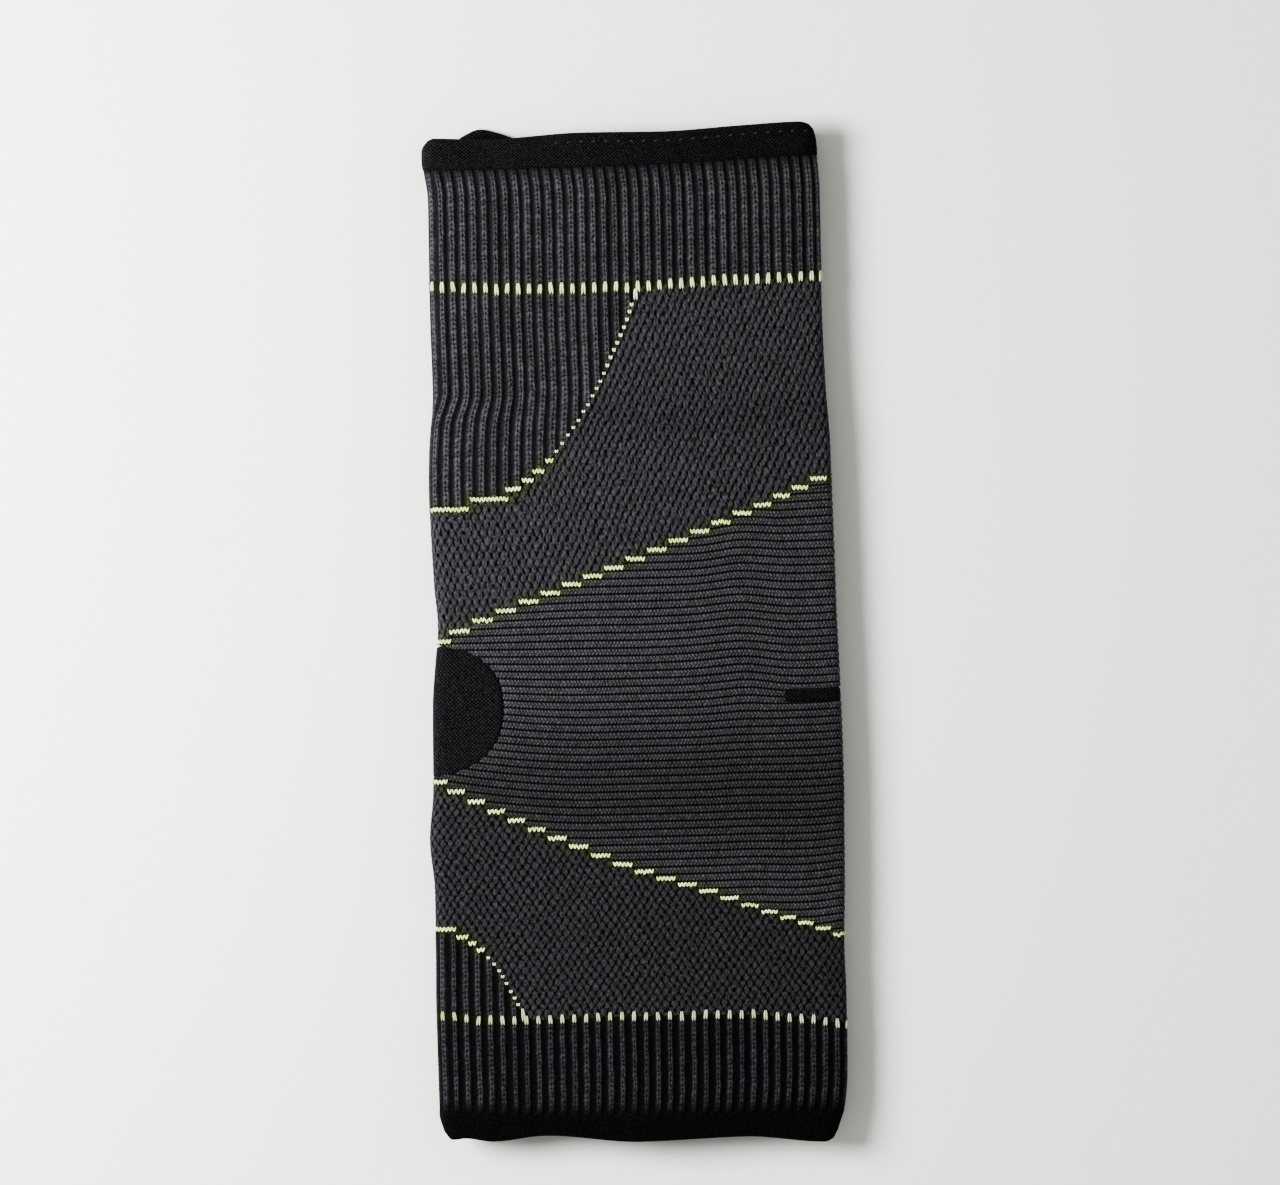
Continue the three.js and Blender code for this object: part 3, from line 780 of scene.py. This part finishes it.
def rib_relief(passed, crest):
    from_crest = np.abs(passed % 1 - 0.5)
    shoulder = ramp((from_crest - crest / 2 + 0.1) / 0.24)
    return RIB_DEPTH * ease(shoulder) + 0.07 * bell(from_crest, 0.07)


def rib_zone(name, way, y, passed, crest, tone, fade, **wrap):
    piece = knit_zone(
        f"{name}_knit", way, y, rib_relief(passed, crest), y / ROUND_MM, tone,
        counted=3 * passed, crest=crest, fade=fade, **wrap,
    )
    dress(piece, name, rib_knit)


CUFF_ROWS = 18
for name, foot, head, seam, ribs, crest, tone, blend in (
    ("upper_cuff", upper_cuff_line, upper_seam, upper_seam, UPPER_RIBS, 0.56, 0.95, 1.7),
    ("lower_cuff", lower_seam, lower_cuff_line, lower_seam, LOWER_RIBS, 0.44, 0.66, 2.1),
):
    columns = rib_ways(ribs)
    way, y = between(columns, foot, head, CUFF_ROWS)
    passed = rib_count(way, ribs)
    fade = bell(y - meet(seam, columns), blend)
    rib_zone(name, way, y, passed, crest, tone, fade, closed=True, strips=3)

# %% [markdown]
# ## Rib tongues
# The ribs run on past the cuffs along the left fold, in a tongue with a curved edge. It doesn't close on itself:
# it wraps the fold and ends on the front and the back, where it is no longer tall enough for a stitch. Part of
# the way down the upper tongue the cloth is twisted round the fold by two millimetres, and the ribs show a kink.


# %% Tongues
KINK_Y, KINK_RUN, KINK_TWIST, KINK_REACH = 61, 8.5, 2.1, 24
LEAST_TALL = 0.4  # of a column of stitches


def kink(way, y):
    """Twist of the ribs round the left fold, as a share of half the girth."""
    half = half_girth(y)
    return -KINK_TWIST / half * ease(ramp((KINK_Y - y) / KINK_RUN)) * bell(np.abs(way) * half, KINK_REACH)


for name, foot, head, tip, rows, drift, ribs, crest, tone in (
    ("upper_rib_tongue", upper_tongue_edge, upper_cuff_line, UPPER_TIP, 36, kink, UPPER_RIBS, 0.56, 0.95),
    ("lower_rib_tongue", lower_cuff_line, lower_tongue_edge, LOWER_TIP, 18, no_drift, LOWER_RIBS, 0.48, 0.7),
):
    columns = rib_ways(ribs)
    columns = columns[np.abs(columns) < 0.9]
    low, high = (meet(border, columns, drift) for border in (foot, head))
    columns = columns[(high - low > LEAST_TALL) & (cloth(columns, high)[:, 0] < tip)]
    way, y = between(columns, foot, head, rows, drift)
    passed = np.broadcast_to(rib_count(columns, ribs), way.shape)
    rib_zone(name, way, y, passed, crest, tone, 0.0, strips=2)

# %% [markdown]
# ## Mesh panels
# The mesh panels fill what is left between the cuffs, the tongues and the joint panel. Their loops are only as
# deep as the yarn, so the grid gets soft swells at the lattice's places and the finish draws the loops and
# slits. A band across the upper panel is given painted shade, the shade of a slack crease there, so it is a
# little darker.

# %% Mesh panels
CREASE_SHADE_Y, CREASE_SHADE_HALF = 53.5, 5
SWELL_MEAN, SWELL = 0.14, 0.07
for name, foot, head, rows, (tuck, columns), tone, slant_shade_amount, crease_shade, leaf in (
    ("upper_mesh_panel", upper_slant, upper_mesh_head, 100, UPPER_TUCK, 0.87, 0.2, 0.1, 0.1),
    ("lower_mesh_panel", lower_mesh_foot, lower_slant, 80, LOWER_TUCK, 0.675, 0.0, 0.0, 0.28),
):
    way, y = between(np.linspace(-1, 1, 4 * columns + 1), foot, head, rows)
    swell = np.cos(np.pi * way * columns) * np.cos(2 * np.pi * y / tuck)
    # strength of the painted shade on the mesh strands, growing towards the crook
    slant = slant_shade_amount * ramp((cloth(way, y)[..., 0] + 32) / 24)
    # painted shade of a slack crease: a band across the upper panel is a little darker
    tone = tone * (1 - crease_shade * bell(y - CREASE_SHADE_Y, CREASE_SHADE_HALF))
    piece = knit_zone(
        f"{name}_knit", way, y, SWELL_MEAN - SWELL * swell, y / tuck, tone, closed=True, strips=2,
        counted=way * columns, slant=slant, leaf=leaf,
    )
    dress(piece, name, mesh_knit)

# %% [markdown]
# ## Slack over the joint
# Over the joint the ribs run round the tube, so that the sleeve can bend. They fan out from the elbow's point and
# are pushed up in a slack wave beside the crook. Below the bar they close up, towards the upper slant they rise,
# and in a few places they are pushed softly up or down. One function adds all this up.

# %% Slack over the joint
PUSHES = np.array([  # across, height, reach across, reach along, push
    (2, 0, 8, 9, -0.2), (18.5, -4, 5, 13, 0.2), (35, 18, 10, 9, 0.33), (27.5, -26, 4, 8, -0.26),
    (38, -60, 6, 8, -0.2),
])


def slack(x, y):
    """How far the rounds are pushed along the sleeve."""
    fan = np.clip(-0.085 * y, -0.9, 1.85) * (np.clip(-10 - x, 0, None) / 24) ** 1.7  # from the patch
    beside = 1 / (1 + np.exp(-(x - 35) / 1.5))  # 1 to the right of the wave
    crest = 26 + 1.6 * ramp((5 - y) / 20)
    wave = np.clip((y + 50) / 35, 0.15, 1) * (0.95 * bell(x - crest, 6.5) - 0.45 * beside)
    closing = 0.95 * beside * ramp((-13 - y) / 5) * bell(y + 18, 18)  # below the bar
    lifted = 1.4 * ramp((y - 7) / 22) * ramp((x - 22) / 20)  # towards the upper slant
    at_fold = (0.3 + 0.45 * ramp((-25 - y) / 35)) * bell(right_edge(y) - x, 5)
    sag = 0.33 * bell(y + 16, 13)
    return fan + wave + closing + lifted + at_fold - sag + mounds(PUSHES, x, y)


print("slack on the wave's crest, mm:", round(float(slack(26, 0)), 2))

# %% [markdown]
# ## Where the ridges end
# Each ridge gets six rows of points between its grooves. A row ends at a slant, or at the round patch, where each
# ridge stops as a whole and is rounded off like a fingertip. The end of a row depends on its slack, and the slack
# on the end, so the ends are found by small steps until they settle.

# %% Ends of the ridges
RIDGE_MM, RIDGE_START = 1.861, -17.42
PATCH_Y, PATCH_HALF, PATCH_REACH, PATCH_POWER = -17.1, 16.1, 21.3, 2.3


def patch_reach(y):
    from_top = ramp(np.abs(y - PATCH_Y) / PATCH_HALF)
    return PATCH_REACH * (1 - from_top**PATCH_POWER) ** (1 / PATCH_POWER)


phases = np.array([0, 0.09, 0.2, 0.5, 0.8, 0.91])
ridge_rows = (np.arange(-33, 31)[:, None] + phases).ravel()
level = RIDGE_START + RIDGE_MM * ridge_rows
phase = ridge_rows % 1
middle = RIDGE_START + RIDGE_MM * (np.floor(ridge_rows) + 0.5)
fingertip = 0.5 * np.abs(2 * phase - 1) ** 5
limit = np.zeros(len(level))
for _ in range(60):
    x = cloth(limit, level)[:, 0]
    y, half = level + slack(x, level), half_girth(level)
    on_upper = way_to(np.interp(y, upper_slant(fine_x), fine_x), y)
    on_lower = way_to(np.interp(-y, -lower_slant(fine_x), fine_x), y)
    whole = patch_reach(middle + slack(x, middle))
    whole = np.where(phase == 0, np.maximum(whole, patch_reach(middle - RIDGE_MM + slack(x, middle))), whole)
    on_patch = 0.5 * whole + 0.5 * patch_reach(y)
    on_patch = np.where(on_patch > 0, on_patch + fingertip, 0) / half
    limit = limit + 0.5 * (np.maximum(np.maximum(on_upper, on_lower), on_patch) - limit)
end = (1 - limit) * half_girth(level)
keep = end > 1.0
level, end, ridge_rows, phase = level[keep], end[keep], ridge_rows[keep], phase[keep][:, None]
print("rows of points:", len(level))

# %% [markdown]
# ## Joint panel
# The rows of the grid follow the ridges, which keeps every groove sharp. Over the right fold the cloth is taut and
# the grooves are shallow. Across the crook a shallow bed is left for the bar.

# %% Joint panel
BAR_Y, BAR_HALF, BAR_REACH = -15.4, 1.72, 18.0
BAR_BED = 0.75  # depth of the bed that the bar lies in
over = np.linspace(0, 1, 14) * QUARTER


def side_steps(reach):
    """Distances from the right fold to the end of a row: close over the fold and at the end."""
    if reach < 1.5 * QUARTER:
        return np.linspace(0, reach, len(over) + 25)
    return np.r_[over, np.linspace(QUARTER, reach - 0.7, 24)[1:], reach - 0.25, reach]


steps = np.array([side_steps(reach) for reach in end])
distance = np.concatenate([-steps[:, :0:-1], steps], axis=1)
way = 1 + distance / half_girth(level)[:, None]
flat_y = np.broadcast_to(level[:, None], way.shape)
y = flat_y + slack(cloth(way, flat_y)[..., 0], flat_y)
groove = bell(np.minimum(phase, 1 - phase), 0.12)
to_end = end[:, None] - np.abs(distance)
taut = 0.3 + 0.7 * ramp(np.abs(distance) / 11) ** 2
relief = 0.5 * taut * groove + 0.1 * np.abs(2 * phase - 1) ** 3 + 0.4 * ramp(1 - to_end / 0.7) ** 2
in_bar = (np.abs(y - BAR_Y) < BAR_HALF) & (np.abs(distance) < BAR_REACH)
relief = np.where(in_bar, BAR_BED, relief)
rounds = np.broadcast_to(ridge_rows[:, None], way.shape)
tone = 1.02 - 0.29 * bell(y + 39, 18)
piece = knit_zone("joint_panel_knit", way, y, relief, rounds, tone, strips=2)
dress(piece, "joint_panel", ridge_knit)

# %% [markdown]
# ## Elbow patch and fold bar
# Two plain black areas: a round patch over the elbow's point, and a short bar across the crook. The patch is a
# grid squeezed into a half disc: its columns crowd towards the rim, so the curve stays round. It reaches a little
# way under the fingertips of the ridges, so no gap shows between them. The bar lies in a shallow bed in the joint
# panel.

# %% Patch and bar
UNDER = 1.1  # how far the patch reaches below the fingertips
share = np.sin(np.linspace(-1, 1, 121) * 0.985 * math.pi / 2)
way = share * (PATCH_REACH + UNDER) / half_girth(PATCH_Y)
x = cloth(way, PATCH_Y)[:, 0]
tall = (PATCH_HALF + UNDER) * (1 - np.abs(share) ** PATCH_POWER) ** (1 / PATCH_POWER)
low, high = np.maximum(PATCH_Y - tall, lower_slant(x)), np.minimum(PATCH_Y + tall, upper_slant(x))
rows = np.linspace(0, 1, 49)[:, None]
y = low + (high - low) * rows
way = np.broadcast_to(way, y.shape)
from_top = np.abs(y - PATCH_Y) / (PATCH_HALF + UNDER)
radius = (np.abs(share) ** PATCH_POWER + from_top**PATCH_POWER) ** (1 / PATCH_POWER)
relief = 0.1 + 0.5 * ramp((radius - 0.9) / 0.06) ** 2
piece = knit_zone("elbow_patch_knit", way, y, relief, y / LOOP_MM, 0.88, inner=1.9)
dress(piece, "elbow_patch", plain_knit)

distance = np.linspace(-BAR_REACH, BAR_REACH, 61)
rows = np.linspace(-1, 1, 13)[:, None]
way = np.broadcast_to(1 + distance / half_girth(BAR_Y), (13, 61))
y = np.broadcast_to(BAR_Y + rows * BAR_HALF, way.shape)
edge = np.minimum((1 - np.abs(rows)) * BAR_HALF, BAR_REACH - np.abs(distance))
relief = 0.15 + 0.3 * np.exp(-edge / 0.3)
piece = knit_zone("fold_bar_knit", way, y, relief, y / LOOP_MM, 0.68, inner=0.72)
dress(piece, "fold_bar", plain_knit)

# %% [markdown]
# ## Turned hems
# Each opening ends in a black hem: the knit is turned over and caught inside, so the rim is round and twice as
# thick. The grid's rows follow that turn, up the outside, over the rim in a half circle and down the inside, and
# its last row meets its first along the seam, which closes the form with no need of a Solidify.

# %% Hems
hem_way = np.linspace(-1, 1, 2 * WALES + 1)
IN, NOSE = 2.3, 1.3  # depth of the inside, and how far the round rim reaches out
HEM_RUN = 8  # length of cloth from the seam to the rim
turn = np.linspace(0, math.pi, 11)


def hem_profile(out):
    """Share of the way from the seam to the rim, reach past it and depth, from the seam round to the seam."""
    points = [(0, 0, 0.35), (0.04, 0, 0.02), (0.12, 0, 0.7 * out)]
    points += [(0.35, 0, out), (0.6, 0, out), (0.85, 0, out)]
    points += [(1, NOSE * math.sin(a), (out + IN) / 2 - (IN - out) / 2 * math.cos(a)) for a in turn]
    return points + [(0.7, 0, IN), (0.35, 0, IN), (0.05, 0, 2.1), (0, 0, 1.6), (0, 0, 0.35)]


for name, seam, rim_line, side, out, tone, shade_to_right in (
    ("upper_welt", upper_seam, upper_rim, 1, -0.22, 0.78, -0.12),
    ("lower_welt", lower_seam, lower_rim, -1, -0.06, 0.42, 0),
):
    low = meet(seam, hem_way)
    high = meet(lambda x: rim_line(x, hem_way), hem_way) - side * NOSE
    profile = np.array(hem_profile(out)[::side])
    share, nose, depth = profile.T[:, :, None]
    y = low + share * (high - low) + side * nose
    way = np.broadcast_to(hem_way, y.shape)
    under = ramp((FOLD_RADIUS - cloth(way, y)[..., 2]) / FOLD_RADIUS)
    depth = np.where(depth < 0, depth * (1 - under), depth)
    rows, columns = y.shape[0] - 1, y.shape[1] - 1
    piece = laid_grid(f"{name}_knit", cloth(way, y, depth))
    mesh = piece.data
    column, row, _ = corner_cells(mesh, columns, rows)
    run = np.r_[0, np.cumsum(np.hypot(np.diff(HEM_RUN * share[:, 0] + nose[:, 0]), np.diff(profile[:, 2])))]
    put_map(mesh, "knit", np.stack([way[row, column] * WALES, run[row] / LOOP_MM], axis=-1))
    put_map(mesh, "OFBake", bake_map(column / columns, row / rows, np.zeros(len(row), int), 4))
    mesh.uv_layers.remove(mesh.uv_layers[0])
    close_seams()
    x = np.array([v.co.x for v in mesh.vertices]) / MM
    # painted shade: the upper hem gets darker towards the right, as the rest of the sleeve does
    put_number(mesh, "tone", tone + shade_to_right * x / PAINTED_SHADE_REACH)
    bpy.ops.object.shade_smooth_by_angle(angle=SMOOTH_ANGLE)
    dress(piece, name, hem_knit)

# %% [markdown]
# ## One leg of a stitch
# An accent stitch is a V of bright yarn: two legs that lean together. One leg is a small sphere pulled long and
# flat, with ends that are blunt in a dash and round in a tall stitch. It is modelled once and repeated in code,
# each copy turned to the cloth below it, so the stitches wrap the folds with the knit. Under the sleeve they are
# pressed level with the cloth. Each line of stitches is one piece.

# %% Stitch legs
BLUNT, ROUND = 0.75, 1.0  # powers that shape the ends of a leg
THINNER = 0.8  # height of a leg above the cloth, as a share of its width
bpy.ops.object.select_all(action="DESELECT")
bpy.ops.mesh.primitive_uv_sphere_add(segments=8, ring_count=7, radius=1)
leg = bpy.context.object
leg_points = np.array([v.co[:] for v in leg.data.vertices])
leg_faces = [list(p.vertices) for p in leg.data.polygons]
bpy.data.objects.remove(leg)


def stitch_line(name, legs, finish, tone, ends=BLUNT):
    """One piece from legs: way, height, lift, half length, half width, lean, paleness."""
    points, faces = [], []
    shape = leg_points.copy()
    shape[:, 2] = np.sign(shape[:, 2]) * np.abs(shape[:, 2]) ** ends
    for way, y, lift, long, wide, lean, _ in legs:
        under = ramp(1 - cloth(way, y)[2] / FOLD_RADIUS)
        lift = lift - (lift + THINNER * wide) * under
        here = cloth(way, y, -lift)
        side, up = cloth(way + 0.002, y, -lift) - here, cloth(way, y + 0.2, -lift) - here
        side, up = side / np.linalg.norm(side), up / np.linalg.norm(up)
        along = up * math.cos(lean) + side * math.sin(lean)
        beside = side * math.cos(lean) - up * math.sin(lean)
        faces += [[len(points) * len(leg_points) + i for i in face] for face in leg_faces]
        above = np.cross(side, up)
        points.append(here + shape @ np.array([beside * wide, above * wide * THINNER, along * long]))
    mesh = bpy.data.meshes.new(name)
    mesh.from_pydata([tuple(p) for p in np.concatenate(points) * MM], [], faces)
    piece = bpy.data.objects.new(name, mesh)
    bpy.context.scene.collection.objects.link(piece)
    bpy.ops.object.select_all(action="DESELECT")
    bpy.context.view_layer.objects.active = piece
    piece.select_set(True)
    in_edit(bpy.ops.mesh.normals_make_consistent, inside=False)
    bpy.ops.object.shade_smooth()
    mesh.materials.append(finish)
    put_number(mesh, "tone", np.full(len(mesh.vertices), tone))
    put_number(mesh, "pale", np.repeat([leg[6] for leg in legs], len(leg_points)))
    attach(piece, "root")
    print(f"{name}: {len(legs)} legs, {len(mesh.polygons)} faces")


print("faces of one leg:", len(leg_faces))

# %% [markdown]
# ## Accent lines
# A dash is a row of Vs, one for each column of stitches under it. Single stitches on the curves are short and
# round. The cuff lines have one tall stitch on each rib, and where a curve joins a cuff line a stitch hangs down
# as a tail. Yarn never lies quite even, so random numbers from a fixed start shift each stitch a little. A row of
# black catch stitches holds the upper hem, two millimetres below its rim.


# %% Accent lines
luck = np.random.default_rng(4)
IN_A_DASH = (0.64, 0.26, 0.34, 0)  # half length, half width, lean and paleness of a leg
ALONE, ALONE_HIGH, HIGH_Y = (0.4, 0.25, 0.2, 0.9), (0.5, 0.28, 0.2, 0.45), 66
CATCH_BELOW_RIM = 2.3
CUFF_TAILS = {  # place across, height and half length of the tail, and the tone of the whole line
    "upper_cuff_accent": (2.9, 83.6, 1.5, 0.95), "lower_cuff_accent": (-29.0, -91.6, 1.6, 0.73)
}


def dash(x, y, width, thick=1.0):
    """Legs of a dash, on the front and mirrored on the back."""
    first, last = float(way_to(x - width / 2, y)), float(way_to(x + width / 2, y))
    count = max(1, round((last - first) * WALES))
    long, wide, lean, pale = IN_A_DASH if count > 1 else (ALONE_HIGH if y > HIGH_Y else ALONE)
    middles = first + (np.arange(count) + 0.5) * (last - first) / count
    heights = y + luck.normal(0, 0.09, count)
    shift = 0.22 / float(half_girth(y))
    return [
        (face * (middle + sign * shift), height, 0.04, long * thick, wide, face * sign * lean, pale)
        for middle, height in zip(middles, heights) for sign in (-1, 1) for face in (1, -1)
    ]


def tall_stitch(way, y, long, wide):
    """Two legs that lean together at the top."""
    shift, tilt = 0.8 * wide / float(half_girth(y)), luck.normal(0, 0.06)
    y, long = y + luck.normal(0, 0.12), long * luck.uniform(0.88, 1.08)
    return [(way + sign * shift, y, 0.02, long, wide, tilt - sign * 0.05, 0.35) for sign in (-1, 1)]


for name, rows in marks.items():
    stitch_line(name, [leg for row in rows for leg in dash(*row)], accent_yarn, 1.0)
for name, (ways, heights, long, wide) in cuff_marks.items():
    x, y, tail, tone = CUFF_TAILS[name]
    legs = [leg for way, height in zip(ways, heights) for leg in tall_stitch(way, float(height), long, wide)]
    legs += [leg for face in (1, -1) for leg in tall_stitch(face * float(way_to(x, y)), y, tail, wide)]
    stitch_line(name, legs, accent_yarn, tone, ROUND)
catch_way = np.arange(12, 33) / 34
catch_y = meet(lambda x: upper_rim(x, catch_way), catch_way) - CATCH_BELOW_RIM
legs = [(way, float(y), 0.22, 0.5, 0.2, 1.35, 0) for way, y in zip(catch_way, catch_y)]
stitch_line("upper_hem_stitches", legs, hem_knit, 1.1)

# %% [markdown]
# ## The cloth unrolled
# Each zone's size unrolled on the table is printed with its area: a zone that was stretched or crumpled by
# mistake would show up here. The hems, the bar and the accent lines are knitted into a zone, so they are left
# out.

flat_sizes.pop("fold_bar_knit")
for name, (width, length, area) in flat_sizes.items():
    print(f"{name}: unrolled {width:.0f} x {length:.0f} mm, {area / 100:.1f} cm2")

# %% [markdown]
# ## Floor, light and camera
# The sleeve lies on a plain pale surface, lit by one soft lamp from the left at about forty degrees, a weak
# bounce from the right and a little light from all round. It is seen from straight above. The camera's lens is
# set for a frame 1280 pixels wide, and the camera is turned a little, because the sleeve lies slightly askew in
# the frame.

# %% Stage
bpy.ops.object.select_all(action="DESELECT")
bpy.ops.mesh.primitive_plane_add(size=6, location=(0, 0, -0.0002))
floor = bpy.context.object
floor.name = "floor"
floor_look = bpy.data.materials.new("pale_floor")
floor_look.use_nodes = True
floor_shader = floor_look.node_tree.nodes["Principled BSDF"]
floor_shader.inputs["Base Color"].default_value = (0.80, 0.80, 0.79, 1)
floor_shader.inputs["Roughness"].default_value = 0.6
floor.data.materials.append(floor_look)

world = bpy.data.worlds.new("soft_room")
bpy.context.scene.world = world
world.use_nodes = True
world.node_tree.nodes["Background"].inputs[0].default_value = (1.0, 1.0, 0.94, 1)
world.node_tree.nodes["Background"].inputs[1].default_value = 0.41


def soft_light(name, place, aim, size, power, colour):
    data = bpy.data.lights.new(name, "AREA")
    data.shape, data.size, data.energy, data.color = "DISK", size, power, colour
    light = bpy.data.objects.new(name, data)
    bpy.context.scene.collection.objects.link(light)
    light.location = place
    light.rotation_euler = (Vector(aim) - Vector(place)).to_track_quat("-Z", "Y").to_euler()


soft_light("window", (-0.52, 0.11, 0.49), (0, 0, 0), 0.36, 8.4, (1.0, 1.0, 1.0))
soft_light("bounce", (0.6, 0.0, 0.22), (0, 0, 0), 0.5, 0.45, (1.0, 1.0, 1.0))

camera_data = bpy.data.cameras.new("camera")
camera = bpy.data.objects.new("camera", camera_data)
bpy.context.scene.collection.objects.link(camera)
DISTANCE, PIXELS_PER_MM, PIXELS_WIDE, SENSOR_MM = 1400, 4.08, 1280, 36
camera.location = (2.1 * MM, 10.7 * MM, (DISTANCE + 5) * MM)
camera.rotation_euler = (0, 0, math.radians(-1.472))
camera_data.sensor_fit, camera_data.sensor_width = "HORIZONTAL", SENSOR_MM
camera_data.lens = SENSOR_MM * DISTANCE * PIXELS_PER_MM / PIXELS_WIDE
bpy.context.scene.camera = camera
bpy.context.scene.view_settings.view_transform = "AgX"
bpy.context.scene.view_settings.look = "AgX - Very High Contrast"
print("lens, mm:", round(camera_data.lens, 1))
